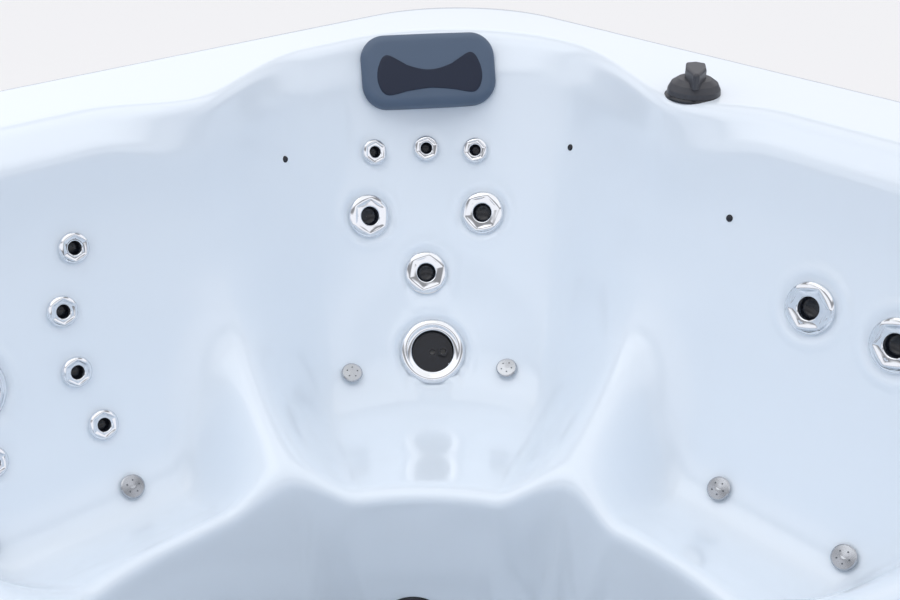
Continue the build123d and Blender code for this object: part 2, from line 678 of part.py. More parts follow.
def jet_pump_wet_end():
    """Volute, open through its suction and discharge, with a chamber for the impeller."""
    left = PUMP_X - VOLUTE_W / 2
    body = rod(across_x(left, PUMP_Y, PUMP_Z), VOLUTE_R, 0, VOLUTE_W)
    body += rod(across_x(left, PUMP_Y, PUMP_Z), PIPE_R + 6, -14, 1)
    body += rod(Plane((PUMP_X, PUMP_Y, PUMP_Z)), PIPE_R + 6, VOLUTE_R - 12, VOLUTE_R + 40)
    body += block((left + 10, PUMP_Y - 60, BASE_T), (left + VOLUTE_W - 10, PUMP_Y + 60, PUMP_Z - 40))
    body -= rod(across_x(left, PUMP_Y, PUMP_Z), IMPELLER_R + 12, 14, VOLUTE_W - 12)
    body -= rod(across_x(left, PUMP_Y, PUMP_Z), PIPE_R - PIPE_T, -20, 20)
    body -= rod(across_x(left, PUMP_Y, PUMP_Z), SHAFT_R + RUN, VOLUTE_W - 14, VOLUTE_W + 1)
    body -= rod(Plane((PUMP_X, PUMP_Y, PUMP_Z)), PIPE_R - PIPE_T, IMPELLER_R, VOLUTE_R + 50)
    return body


def jet_pump_impeller():
    """Shrouded wheel with curved vanes on the motor's shaft."""
    left = across_x(PUMP_X - VOLUTE_W / 2, PUMP_Y, PUMP_Z)
    wheel = Cylinder(IMPELLER_R, 5, align=BOTTOM) + Cylinder(SHAFT_R, 70, align=BOTTOM)
    for k in range(6):
        vane = Pos(0.55 * IMPELLER_R, 0, -14) * Rot(0, 0, 28) * Box(0.72 * IMPELLER_R, 4, 15, align=BOTTOM)
        wheel += Rot(0, 0, 60 * k) * vane
    return Location(left.offset(44)) * wheel


def jet_pump_motor():
    """Finned motor on two feet, with a fan cowl at its far end."""
    left = across_x(PUMP_X + VOLUTE_W / 2, PUMP_Y, PUMP_Z)
    motor = rod(left, MOTOR_R, 0, MOTOR_L)
    motor += rod(left, MOTOR_R + 5, MOTOR_L - 60, MOTOR_L)
    for k in range(8):
        fin = Rot(0, 0, 22.5 + 45 * k) * Pos(MOTOR_R, 0, 0) * Box(14, 4, MOTOR_L - 110, align=BOTTOM)
        motor += Location(left.offset(30)) * fin
    motor -= rod(left, SHAFT_R + RUN + 0.5, -1, 60)
    for x in (PUMP_X + VOLUTE_W / 2 + 40, PUMP_X + VOLUTE_W / 2 + MOTOR_L - 110):
        motor += block((x, PUMP_Y - 70, BASE_T), (x + 40, PUMP_Y + 70, PUMP_Z - 50))
    motor += block((PUMP_X + 90, PUMP_Y - 60, PUMP_Z + MOTOR_R - 20), (PUMP_X + 210, PUMP_Y + 60, PUMP_Z + MOTOR_R + 28))
    return motor


SUCTION_VALVE = Plane((PUMP_X - VOLUTE_W / 2 - 14 - VALVE_T, PUMP_Y, PUMP_Z), x_dir=(0, -1, 0),
                      z_dir=(1, 0, 0))
PRESSURE_VALVE = Plane((PUMP_X, PUMP_Y, PUMP_Z + VOLUTE_R + 40), x_dir=(1, 0, 0), z_dir=(0, 0, 1))


def valve_body(plane):
    """Gate valve body across a pipe, its gate slot open on the side the handle is on."""
    body = Box(VALVE_W, VALVE_W, VALVE_T, align=BOTTOM)
    body -= Cylinder(PIPE_R - PIPE_T, VALVE_T, align=BOTTOM)
    slot = Pos(0, -VALVE_W / 2 - 1, VALVE_T / 2) * Box(
        2 * PIPE_R + 2 * RUN, VALVE_W + 1 - 12, GATE_T + 2 * RUN, align=(Align.CENTER, Align.MIN, Align.CENTER))
    return Location(plane) * (body - slot)


def valve_gate(plane):
    """Gate with its cross handle, drawn out so that the pipe is open."""
    near = -PIPE_R - 1
    out = -VALVE_W / 2 - GATE_TRAVEL - GRIP_R - 1
    gate = Pos(0, near, VALVE_T / 2) * Box(
        2 * PIPE_R, near - out, GATE_T, align=(Align.CENTER, Align.MAX, Align.CENTER))
    grip = Pos(0, out, VALVE_T / 2) * Rot(0, 90, 0) * Cylinder(GRIP_R, 84)
    return Location(plane) * (gate + grip)


def runs(paths, radius=PIPE_R, bend=60.0):
    """One set of joined pipes, hollow through every junction."""
    outer, inner = [], []
    for points in paths:
        path = FilletPolyline(*points, radius=bend) if len(points) > 2 else Line(*points)
        start = Plane(path @ 0, z_dir=path % 0)
        outer.append(sweep(start * Circle(radius), path=path))
        inner.append(sweep(start * Circle(radius - PIPE_T), path=path))
    whole = outer[0]
    for other in outer[1:]:
        whole += other
    for core in inner:
        whole -= core
    return whole


def suction_stub(place):
    plane = fixed_seat(place, SUCTION_SINK)
    return plane.origin - plane.z_dir * (SUCTION_STEM - 4)


def suction_pipes():
    """Both suction covers to the two pumps."""
    ends = [suction_stub(place) for place in SUCTION_AT]
    left = SUCTION_VALVE.origin.X
    runs_in = [[(left, PUMP_Y, PUMP_Z), (left - 110, PUMP_Y, PUMP_Z), (left - 110, SUCTION_Y, SUCTION_Z),
                (CIRC_X - 40, SUCTION_Y, SUCTION_Z), (CIRC_X - 40, HEATER_Y, HEATER_Z),
                (CIRC_X + 40, HEATER_Y, HEATER_Z)]]
    for end in ends:
        runs_in.append([(end.X, SUCTION_Y, SUCTION_Z), (end.X, end.Y, end.Z)])
    made = runs(runs_in, bend=38.0)
    for place in SUCTION_AT:
        made -= rod(fixed_seat(place, SUCTION_SINK), SUCTION_R * STEM + 1, -SUCTION_STEM, 0)
    return made


def pressure_pipes():
    """Riser from the jet pump, header behind the front seat, and the heater's riser."""
    low = PRESSURE_VALVE.origin.Z + VALVE_T
    header = [(-620, PUMP_Y, HEADER_Z), (RISER_X - 60, PUMP_Y, HEADER_Z)]
    riser = [(PUMP_X, PUMP_Y, low), (PUMP_X, PUMP_Y, HEADER_Z)]
    warm = [(CIRC_X + 120 + HEATER_L, HEATER_Y, HEATER_Z), (RISER_X, HEATER_Y, HEATER_Z),
            (RISER_X, HEATER_Y, HEADER_Z), (RISER_X, PUMP_Y, HEADER_Z), (RISER_X - 80, PUMP_Y, HEADER_Z)]
    made = runs([header, riser, warm], bend=44.0)
    made += rod(across_x(-628, PUMP_Y, HEADER_Z), PIPE_R + 3, 0, 14)
    for k in range(8):
        x = -560 + 150 * k
        if abs(x - PUMP_X) > 50:
            made += rod(Plane((x, PUMP_Y, HEADER_Z)), 8, PIPE_R - 2, PIPE_R + 22)
    return made


def circulation_pump():
    """Small canned pump on its foot, its ports in line with the heater."""
    left = across_x(CIRC_X + 40, HEATER_Y, HEATER_Z)
    pump = rod(left, 46, 0, 66) + rod(left, 36, 60, 80)
    pump += block((CIRC_X + 50, HEATER_Y - 40, BASE_T), (CIRC_X + 96, HEATER_Y + 40, HEATER_Z - 20))
    pump += Pos(CIRC_X + 73, HEATER_Y, HEATER_Z) * Box(50, 60, 56, align=BOTTOM)
    return pump


def heater_tube():
    """Steel tube with the union nuts at its ends and the terminal box on top."""
    left = across_x(CIRC_X + 120, HEATER_Y, HEATER_Z)
    tube = rod(left, PIPE_R + 2, 0, HEATER_L)
    for start in (0, HEATER_L - 26):
        tube += rod(left, PIPE_R + 12, start, start + 26)
    tube -= rod(left, PIPE_R - 3, -1, HEATER_L + 1)
    middle = CIRC_X + 120 + HEATER_L / 2
    tube += block((middle - 50, HEATER_Y - 25, HEATER_Z + PIPE_R), (middle + 50, HEATER_Y + 25, HEATER_Z + PIPE_R + 26))
    for x in (middle - 60, middle + 44):
        tube += block((x, HEATER_Y - 30, BASE_T), (x + 16, HEATER_Y + 30, HEATER_Z - PIPE_R + 2))
    return tube


def control_box():
    """Equipment control box, open at the front under its lid."""
    box = block(BOX_LO, BOX_HI)
    inner_lo = (BOX_LO[0] + 4, BOX_LO[1] - 1, BOX_LO[2] + 4)
    inner_hi = (BOX_HI[0] - 4, BOX_HI[1] - 30, BOX_HI[2] - 4)
    return box - block(inner_lo, inner_hi)


def control_box_lid():
    lid = block((BOX_LO[0], BOX_LO[1] - 8, BOX_LO[2] + 0.5), (BOX_HI[0], BOX_LO[1], BOX_HI[2]))
    lid = fillet(lid.edges().filter_by(Axis.Y), 6)
    lid += block((BOX_LO[0] + 6, BOX_LO[1], BOX_LO[2] + 6), (BOX_HI[0] - 6, BOX_LO[1] + 10, BOX_HI[2] - 6))
    return lid - block((BOX_LO[0] + 10, BOX_LO[1], BOX_LO[2] + 10), (BOX_HI[0] - 10, BOX_LO[1] + 11, BOX_HI[2] - 10))


def air_blower():
    """Upright blower on the base, its outlet on top."""
    body = turned((0, BASE_T), (80, BASE_T), (80, BASE_T + 12), (70, BASE_T + 20), (70, 140), (56, 160),
                  (AIR_R_PIPE + 4, 166), (AIR_R_PIPE + 4, 180), (0, 180))
    return Pos(*BLOWER_AT, 0) * body


def air_manifold():
    x, y = BLOWER_AT
    line = [(x, y, 180), (x, y, AIR_LINE_Z), (x, AIR_LINE_Y, AIR_LINE_Z), (-430, AIR_LINE_Y, AIR_LINE_Z)]
    made = runs([line], radius=AIR_R_PIPE, bend=30.0)
    made += rod(across_x(-438, AIR_LINE_Y, AIR_LINE_Z), AIR_R_PIPE + 3, 0, 12)
    for k in range(6):
        made += rod(Plane((-380 + 150 * k, AIR_LINE_Y, AIR_LINE_Z)), 5, AIR_R_PIPE - 2, AIR_R_PIPE + 14)
    return made


def drain_line():
    """Pipe from the footwell drain to the hose spigot in the bay."""
    low = DRAIN_Z
    path = [(0, 0, low), (0, -300, low), (DRAIN_X, -560, low), (DRAIN_X, DRAIN_END_Y, low)]
    line = runs([path], radius=DRAIN_PIPE_R, bend=40.0)
    line += rod(Plane((0, 0, 0)), 24, low - 2, FLOOR_Z - DRAIN_STEM)
    foot = block((DRAIN_X - 22, DRAIN_END_Y + 30, BASE_T), (DRAIN_X + 22, DRAIN_END_Y + 60, low - 8))
    return line + foot


def drain_cap():
    plane = Plane((DRAIN_X, DRAIN_END_Y, DRAIN_Z), x_dir=(1, 0, 0), z_dir=(0, -1, 0))
    cap = turned((0, RUN), (DRAIN_PIPE_R + 6, RUN), (DRAIN_PIPE_R + 6, 16), (DRAIN_PIPE_R + 4, 18), (0, 18))
    cap += turned((0, -8), (DRAIN_PIPE_R - PIPE_T - RUN, -8), (DRAIN_PIPE_R - PIPE_T - RUN, RUN), (0, RUN))
    cap += Pos(0, 0, 18) * Box(30, 6, 8, align=BOTTOM)
    return Location(plane) * cap


# Coping fittings
def topside_outline(grow):
    return RectangleRounded(TOPSIDE_L + 2 * grow, TOPSIDE_W + 2 * grow, 16 + grow)


def topside_panel():
    """Control panel let into the coping, with a pocket for each button."""
    plate = extrude(topside_outline(0), 5)
    plate = fillet(plate.faces().sort_by(Axis.Z)[-1].edges(), 2)
    well = Box(TOPSIDE_L - 22, TOPSIDE_W - 22, 30, align=(Align.CENTER, Align.CENTER, Align.MAX))
    plate += well
    for x in BUTTONS.values():
        plate -= Pos(x, 0, -3) * Cylinder(BUTTON_R + RUN, 20, align=BOTTOM)
    plate -= Pos(0, 0, 4) * Box(36, 34, 4, align=BOTTOM)
    return Location(TOPSIDE_PLANE) * plate


def button(x):
    """Round key, its top proud of the panel by more than its travel."""
    key = turned((0, -3 + BUTTON_TRAVEL + 0.2), (BUTTON_R, -3 + BUTTON_TRAVEL + 0.2), (BUTTON_R, 6.4),
                 (BUTTON_R - 1, 7.4), (0, 8))
    return Location(TOPSIDE_PLANE) * Pos(x, 0, 0) * key


def diverter_valve():
    """Valve body under the coping and its round collar in the coping's niche."""
    collar = turned((0, -90), (DIVERTER_STEM, -90), (DIVERTER_STEM, 0), (DIVERTER_R, 0), (DIVERTER_R, 3),
                    (DIVERTER_R - 4, 6), (14, 6), (14, -30), (0, -30))
    for side in (-1, 1):
        collar += Pos(side * 38, 0, -70) * Rot(0, 90, 0) * Cylinder(20, 34)
    return Location(DIVERTER_PLANE) * collar


def diverter_handle():
    """Domed skirt with a pointed lever on top, turned by hand."""
    skirt = turned((0, 6 + RUN), (44, 6 + RUN), (43, 14), (38, 24), (28, 31), (0, 34))
    skirt += turned((0, -28), (14 - RUN, -28), (14 - RUN, 7), (0, 7))
    lever = extrude(Pos(0, 0, 24) * make_face(
        Polyline((-26, 16), (-34, 0), (-26, -16), (6, -17), (44, -5), (48, 0), (44, 5), (6, 17), close=True)), 26)
    lever = fillet(lever.faces().sort_by(Axis.Z)[-1].edges(), 5)
    return Location(DIVERTER_PLANE) * Rot(0, 0, -52) * (skirt + lever)


def air_control_valve():
    body = turned((0, -60), (AIR_R * STEM, -60), (AIR_R * STEM, 0), (AIR_R, 0), (AIR_R, 2), (AIR_R - 2, 4),
                  (8, 4), (8, -20), (0, -20))
    return Location(AIR_PLANE) * body


def air_control_knob():
    knob = turned((0, 4 + RUN), (AIR_R - 3, 4 + RUN), (AIR_R - 5, 18), (AIR_R - 8, 20), (0, 20))
    knob += turned((0, -18), (8 - RUN, -18), (8 - RUN, 5), (0, 5))
    knob += Pos(0, 0, 16) * Box(2 * AIR_R - 16, 8, 9, align=BOTTOM)
    return Location(AIR_PLANE) * knob


# Pillow
PILLOW_AT = (138.0, 872.0)
PILLOW_W, PILLOW_H, PILLOW_T = 257.0, 138.0, 46.0
CROWN_R = 1500.0
INSERT_DEPTH = 3.0
INSERT_PROUD = 1.0
PILLOW_GAP = 0.2         # the cushion's back clears the curved shell by this
BOW_TIE = [(-80, 28), (-42, 7), (0, -3), (42, 7), (80, 28), (97, 8), (100, -24), (84, -48),
           (42, -42), (0, -38), (-42, -42), (-84, -48), (-100, -24), (-97, 8)]


def pillow_plane():
    plane = seat_plane(*PILLOW_AT)
    return Plane(plane.origin, x_dir=plane.x_dir * -1, z_dir=plane.z_dir)


def crown(rise):
    """Ball whose top is the crowned front of the pillow."""
    return Pos(0, 0, PILLOW_T + rise - CROWN_R) * Sphere(CROWN_R)


def pillow():
    """Headrest with a crowned front, its back on the shell and a pocket for the insert."""
    outline = make_face(FilletPolyline(
        (-PILLOW_W / 2, -PILLOW_H / 2), (PILLOW_W / 2, -PILLOW_H / 2), (PILLOW_W / 2, PILLOW_H / 2),
        (-PILLOW_W / 2, PILLOW_H / 2), radius=46, close=True))
    cushion = extrude(Pos(0, 0, -30) * outline, 30 + PILLOW_T + 2) & crown(0)
    cushion = fillet(cushion.faces().sort_by(Axis.Z)[-1].edges(), 14)
    cushion -= insert_prism() - crown(-INSERT_DEPTH)
    placed = Location(pillow_plane()) * cushion
    front = placed.solid().cut(filled_block()).solid()
    return Location(pillow_plane().z_dir * PILLOW_GAP) * front


def insert_prism():
    outline = make_face(Spline(*[(x, y, 0) for x, y in BOW_TIE], periodic=True))
    return extrude(Pos(0, 0, -10) * outline, 80)


def pillow_insert():
    """Bow-tie pad in the pillow's pocket."""
    pad = (insert_prism() & crown(INSERT_PROUD)) - crown(-INSERT_DEPTH)
    return Location(pillow_plane().offset(PILLOW_GAP)) * pad


def both_corners(solid):
    return [solid, Rot(0, 0, 180) * solid]


def save(name, shapes):
    """Write one node's solids as one STEP file."""
    shapes = shapes if isinstance(shapes, list) else [shapes]
    solids = [solid for shape in shapes for solid in shape.solids()]
    whole = solids[0] if len(solids) == 1 else Compound(solids)
    whole.label = name
    export_step(whole, f"parts/{name}.step")


def save_jets():
    """Bodies, nuts and faces of all the jets."""
    bodies = {size: [] for size in JETS}
    faces = {size: [] for size in JETS}
    nuts = []
    for size, plane in all_jets():
        bodies[size].append(jet_body(size, plane))
        nuts.append(jet_nut(size, plane))
        faces[size].append(jet_face(size, plane, closed=size != "large"))
    faces["large"].append(jet_rotor("large", jet_seat("large", *LEFT_LARGE[0])))
    for size in JETS:
        save(f"{size}_jet_bodies", bodies[size])
    save("jet_nuts", nuts)
    for size, count in (("small", 3), ("medium", 3), ("large", 1)):
        for k in range(count):
            save(f"corner_{size}_jet_face_{k + 1}", faces[size][k])
        save(f"other_{size}_jet_faces", faces[size][count:])
    save("corner_large_jet_rotor", jet_rotor("large", jet_seat("large", *CORNER_LARGE[0])))


def main():
    os.makedirs("parts", exist_ok=True)
    save("acrylic_shell", acrylic_shell())
    save_jets()
    save("base_pan", base_pan())
    save("footwell_cradle", footwell_cradle())
    save("support_frame", support_frame())
    save("cabinet_side_panels", [side_panel(turn) for turn in (90, 180, 270)])
    save("cabinet_corner_panels", corner_panels())
    save("access_panel", access_panel())
    save("access_panel_screws", access_panel_screws())
    save("jet_pump_wet_end", jet_pump_wet_end())
    save("jet_pump_motor", jet_pump_motor())
    save("jet_pump_impeller", jet_pump_impeller())
    save("slice_valve_bodies", [valve_body(SUCTION_VALVE), valve_body(PRESSURE_VALVE)])
    save("suction_valve_handle", valve_gate(SUCTION_VALVE))
    save("pressure_valve_handle", valve_gate(PRESSURE_VALVE))
    save("suction_pipes", suction_pipes())
    save("pressure_pipes", pressure_pipes())
    save("circulation_pump", circulation_pump())
    save("heater_tube", heater_tube())
    save("control_box", control_box())
    save("control_box_lid", control_box_lid())
    save("air_blower", air_blower())
    save("air_manifold", air_manifold())
    save("drain_line", drain_line())
    save("drain_cap", drain_cap())
    save("footwell_drain", footwell_drain())
    save("suction_covers", suction_covers())
    save("underwater_light_bezel", lamp_bezel())
    save("underwater_light_lens", lamp_lens())
    save("point_lights", point_lights())
    save("air_injectors", air_injectors())
    save("filter_housing", filter_housing())
    save("filter_lid", filter_lid())
    save("filter_cartridge", filter_cartridge())
    save("weir_flap", weir_flap())
    save("topside_panel", topside_panel())
    for name, x in BUTTONS.items():
        save(f"{name}_button", button(x))
    save("diverter_valve", diverter_valve())
    save("diverter_handle", diverter_handle())
    save("air_control_valve", air_control_valve())
    save("air_control_knob", air_control_knob())
    save("corner_pillows", both_corners(pillow()))
    save("pillow_inserts", both_corners(pillow_insert()))


main()
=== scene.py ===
import json
from math import cos, hypot, pi, radians, sin, sqrt, tan

import bpy
import numpy as np
from mathutils import Matrix, Vector

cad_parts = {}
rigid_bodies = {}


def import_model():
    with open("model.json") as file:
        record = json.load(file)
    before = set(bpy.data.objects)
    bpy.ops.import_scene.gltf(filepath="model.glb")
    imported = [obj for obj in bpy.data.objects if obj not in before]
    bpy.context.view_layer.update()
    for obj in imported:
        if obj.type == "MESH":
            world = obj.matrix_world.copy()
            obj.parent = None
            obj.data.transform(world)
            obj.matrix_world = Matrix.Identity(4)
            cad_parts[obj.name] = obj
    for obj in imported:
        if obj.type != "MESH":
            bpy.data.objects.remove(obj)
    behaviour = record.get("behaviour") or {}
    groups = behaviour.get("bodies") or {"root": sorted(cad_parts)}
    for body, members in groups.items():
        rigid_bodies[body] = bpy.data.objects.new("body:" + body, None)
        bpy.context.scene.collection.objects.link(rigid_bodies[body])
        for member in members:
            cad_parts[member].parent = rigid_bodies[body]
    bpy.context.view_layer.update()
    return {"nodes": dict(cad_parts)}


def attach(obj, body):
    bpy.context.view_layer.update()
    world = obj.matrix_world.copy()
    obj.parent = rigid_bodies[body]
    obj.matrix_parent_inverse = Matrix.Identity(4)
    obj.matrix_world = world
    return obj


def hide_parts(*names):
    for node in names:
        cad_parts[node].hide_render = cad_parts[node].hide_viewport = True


for leftover in list(bpy.data.objects):
    bpy.data.objects.remove(leftover)
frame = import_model()

# Hot tub, metres. The camera stands over the near corner and looks to the corner at -X +Y.

# The camera, as the photograph shows the rim and the jets
CAMERA_AT = (0.7332, -0.5998, 1.4819)
CAMERA_YAW = 48.014
CAMERA_PITCH = -27.458
LENS = 44.88

# Form of the moulded shell: the same profiles as the solid's, sampled finely
HALF = 1.1
RIM_Z = 0.94
RIM_CORNER = 0.245
RIM_DROP = 0.045
RIM_EDGE = 0.018
SHELL_T = 0.009
FLOOR_Z = 0.08
FLOOR_EDGE = 0.06
CORNER_SEAT = 137.0
LEFT_SEAT = 186.0
STEP_SEAT = 227.0
BACK_SEAT = 88.0
HALF_SPANS = {CORNER_SEAT: 25.0, LEFT_SEAT: 24.0, STEP_SEAT: 17.0, BACK_SEAT: 24.0}
PROFILES = {
    CORNER_SEAT: [(0.140, 0.937), (0.172, 0.880), (0.192, 0.810), (0.228, 0.700), (0.292, 0.510),
                  (0.372, 0.350), (0.470, 0.338), (0.632, 0.412), (0.660, FLOOR_Z)],
    LEFT_SEAT: [(0.190, 0.932), (0.250, 0.893), (0.262, 0.790), (0.290, 0.690), (0.338, 0.520),
                (0.405, 0.368), (0.470, 0.345), (0.600, 0.412), (0.642, FLOOR_Z)],
    STEP_SEAT: [(0.250, 0.940), (0.272, 0.905), (0.284, 0.800), (0.300, 0.720), (0.330, 0.600),
                (0.382, 0.520), (0.470, 0.512), (0.600, 0.520), (0.650, FLOOR_Z)],
    BACK_SEAT: [(0.195, 0.934), (0.240, 0.893), (0.258, 0.790), (0.286, 0.690), (0.336, 0.520),
                (0.405, 0.368), (0.470, 0.345), (0.622, 0.412), (0.662, FLOOR_Z)],
}
ARM = [(0.250, 0.928), (0.268, 0.850), (0.278, 0.760), (0.302, 0.660), (0.345, 0.560),
       (0.400, 0.520), (0.480, 0.480), (0.600, 0.440), (0.642, FLOOR_Z)]
BENDS = [RIM_EDGE, 0.022, 0.016, 0.03, 0.03, 0.055, 0.060, 0.060, 0.026, 0.024]
BEND_STEPS = 7
LEG_STEP = 0.009
AROUND = 1080
BELOW_COPING = 2         # bends of the coping's edge, passed over when a seat's level is looked for
SEAT_STEP = 0.2          # degrees either side at which a seat's level direction is taken

# Jets: escutcheon and opening radius, depth of the seat, radius and depth of the dish round it
JETS = {
    "small": {"face_r": 0.025, "open_r": 0.0108, "sink": 0.0015, "dish_r": 0.034, "dish": 0.0008},
    "medium": {"face_r": 0.0415, "open_r": 0.0178, "sink": 0.0025, "dish_r": 0.068, "dish": 0.0016},
    "large": {"face_r": 0.0625, "open_r": 0.040, "sink": 0.0035, "dish_r": 0.086, "dish": 0.002},
}
FLANGE_T = 0.003
FACE_T = 0.007
HOLE_GROW = 0.006        # the shell's hole is this much wider than the jet's opening
CORNER_SMALL = [(143.3, 0.744), (138.1, 0.741), (133.2, 0.738)]
CORNER_MEDIUM = [(144.1, 0.636), (138.1, 0.528), (132.2, 0.632)]
CORNER_LARGE = [(137.3, 0.404)]
LEFT_SMALL = [(178.5, 0.754), (181.6, 0.668), (182.0, 0.573), (180.9, 0.483), (194.1, 0.492),
              (202.0, 0.668), (202.0, 0.573)]
LEFT_LARGE = [(193.9, 0.601)]
BACK_MEDIUM = [(91.4, 0.686), (81.4, 0.682), (71.6, 0.684)]
FAR_MEDIUM = [(324.1, 0.636), (318.1, 0.528), (312.2, 0.632), (271.4, 0.686), (261.4, 0.682),
              (6.0, 0.640), (13.0, 0.560), (20.0, 0.640)]


def smooth(t):
    t = min(max(t, 0.0), 1.0)
    return t * t * (3 - 2 * t)


def plan_radius(angle, inset):
    """Distance from the middle to the rounded square that lies inset inside the coping edge."""
    half = HALF - inset
    round_r = min(RIM_CORNER + 0.35 * inset, half - 0.001)
    a = radians(abs((angle + 45.0) % 90.0 - 45.0))
    flat = half - round_r
    if half * tan(a) <= flat:
        return half / cos(a)
    across = flat * (cos(a) - sin(a))
    return flat * (cos(a) + sin(a)) + sqrt(round_r ** 2 - across ** 2)


def knots_at(angle):
    """The profile's knots in one direction: the seat's own, raised to the armrest's beside it."""
    for centre, half_span in HALF_SPANS.items():
        across = ((angle - centre + 90.0) % 180.0 - 90.0) / half_span
        if abs(across) <= 1.0001:
            break
    arm = smooth((abs(across) - 0.50) / 0.50)
    return [(d0 + (d1 - d0) * arm, z0 + (z1 - z0) * arm)
            for (d0, z0), (d1, z1) in zip(PROFILES[centre], ARM)]


def toward(p, q, reach):
    t = min(reach / hypot(q[0] - p[0], q[1] - p[1]), 0.48)
    return p[0] + (q[0] - p[0]) * t, p[1] + (q[1] - p[1]) * t


def whole_knots(angle):
    knots = [(0.0, RIM_Z - RIM_DROP), (0.0, RIM_Z)] + knots_at(angle)
    return knots + [(knots[-1][0] + FLOOR_EDGE, FLOOR_Z)]


def leg_counts():
    """How many points each straight leg takes, from its longest length in any seat."""
    rows = [whole_knots(a) for a in list(HALF_SPANS) + [111.0]]
    counts = []
    for k in range(len(rows[0]) - 1):
        longest = max(hypot(r[k + 1][0] - r[k][0], r[k + 1][1] - r[k][1]) for r in rows)
        counts.append(max(int(longest / LEG_STEP) - BEND_STEPS, 1))
    return counts


LEGS = leg_counts()


def profile(angle):
    """Points (inset, height) of one profile, its knots rounded off and its legs divided."""
    knots = whole_knots(angle)
    rounded = [[knots[0]]]
    for reach, a, p, b in zip(BENDS, knots, knots[1:], knots[2:]):
        first, last = toward(p, a, reach), toward(p, b, reach)
        arc = []
        for j in range(BEND_STEPS):
            t = j / (BEND_STEPS - 1)
            arc.append(tuple((1 - t) ** 2 * f + 2 * t * (1 - t) * m + t * t * g
                             for f, m, g in zip(first, p, last)))
        rounded.append(arc)
    rounded.append([knots[-1]])
    points = []
    for count, here, after in zip(LEGS + [0], rounded, rounded[1:] + [None]):
        points += here
        if after is None:
            break
        (x0, z0), (x1, z1) = here[-1], after[0]
        for j in range(1, count + 1):
            t = j / (count + 1)
            points.append((x0 + (x1 - x0) * t, z0 + (z1 - z0) * t))
    return points


def to_space(angle, point):
    r = plan_radius(angle, point[0])
    return Vector((r * cos(radians(angle)), r * sin(radians(angle)), point[1]))


class Seat:
    """A plane on the shell's face: origin, normal into the tub, and a level x direction."""

    def __init__(self, angle, height, sink=0.0):
        row = profile(angle)[BELOW_COPING * BEND_STEPS:]
        for a, b in zip(row, row[1:]):
            if min(a[1], b[1]) <= height <= max(a[1], b[1]) and a[1] != b[1]:
                break
        t = (height - a[1]) / (b[1] - a[1])
        point = (a[0] + (b[0] - a[0]) * t, height)
        across = to_space(angle - SEAT_STEP, point) - to_space(angle + SEAT_STEP, point)
        down = to_space(angle, b) - to_space(angle, a)
        self.x = across.normalized()
        self.z = -(self.x.cross(down)).normalized()
        self.y = self.z.cross(self.x)
        self.origin = to_space(angle, point) - self.z * sink

    def matrix(self):
        m = Matrix((self.x, self.y, self.z)).transposed().to_4x4()
        m.translation = self.origin
        return m


def all_jets():
    places = [("small", p) for p in CORNER_SMALL + LEFT_SMALL]
    places += [("medium", p) for p in CORNER_MEDIUM + BACK_MEDIUM + FAR_MEDIUM]
    places += [("large", p) for p in CORNER_LARGE + LEFT_LARGE]
    return [(size, Seat(*p, sink=JETS[size]["sink"])) for size, p in places]


# Mesh helpers
def make(name, verts, faces, body, slot, material, smooth_shade=True):
    mesh = bpy.data.meshes.new(name)
    mesh.from_pydata([tuple(v) for v in verts], [], faces)
    mesh.validate()
    obj = bpy.data.objects.new(name, mesh)
    bpy.context.scene.collection.objects.link(obj)
    if smooth_shade:
        mesh.shade_smooth()
    mesh.materials.append(material)
    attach(obj, body)
    return obj


def grid_faces(rows, columns, closed=True):
    """Quads of a grid whose columns run round."""
    faces = []
    last = columns if closed else columns - 1
    for j in range(rows - 1):
        for i in range(last):
            k = (i + 1) % columns
            faces.append((j * columns + i, j * columns + k, (j + 1) * columns + k, (j + 1) * columns + i))
    return faces


# Shell: how the flats and dishes round the jets end, and how far from a seat they are looked for
DISH_EDGE = 0.006
DISH_BEYOND = 0.020
DISH_REACH = 0.060
FLAT_BEYOND = 0.001
FLAT_EDGE = 0.012
HOLE_REACH = 0.030


def smooth_array(t):
    t = np.clip(t, 0.0, 1.0)
    return t * t * (3 - 2 * t)


def normals_of(grid):
    """Normals of a grid [row, column, xyz] whose columns close, pointing into the tub."""
    along = np.gradient(grid, axis=0)
    around = np.roll(grid, -1, axis=1) - np.roll(grid, 1, axis=1)
    n = np.cross(along, around)
    return n / np.maximum(np.linalg.norm(n, axis=2, keepdims=True), 1e-9)


def shell_grid():
    angles = [360.0 * i / AROUND for i in range(AROUND)]
    columns = []
    for angle in angles:
        columns.append([to_space(angle, p) for p in profile(angle)])
    return np.array(columns).transpose(1, 0, 2)


def press_seats(grid, jets):
    """Presses each jet's flat seat, and the shallow dish round it, into the shell."""
    normals = normals_of(grid)
    for size, seat in jets:
        sizes = JETS[size]
        away = grid - np.array(seat.origin)
        height = away @ np.array(seat.z)
        flat = away - height[..., None] * np.array(seat.z)
        r = np.linalg.norm(flat, axis=2)
        near = (r < sizes["dish_r"] + DISH_BEYOND) & (np.abs(height) < DISH_REACH)
        dish = smooth_array((sizes["dish_r"] - r) / DISH_EDGE) * sizes["dish"] * near
        grid -= normals * dish[..., None]
        height = (grid - np.array(seat.origin)) @ np.array(seat.z)
        hold = 1 - smooth_array((r - sizes["face_r"] - FLAT_BEYOND) / FLAT_EDGE)
        grid -= np.array(seat.z) * (height * hold * near)[..., None]
    return grid


def in_jet_hole(centres, jets):
    hit = np.zeros(len(centres), bool)
    for size, seat in jets:
        away = centres - np.array(seat.origin)
        height = away @ np.array(seat.z)
        r = np.linalg.norm(away - height[:, None] * np.array(seat.z), axis=1)
        hit |= (r < JETS[size]["open_r"] + HOLE_GROW) & (np.abs(height) < HOLE_REACH)
    return hit


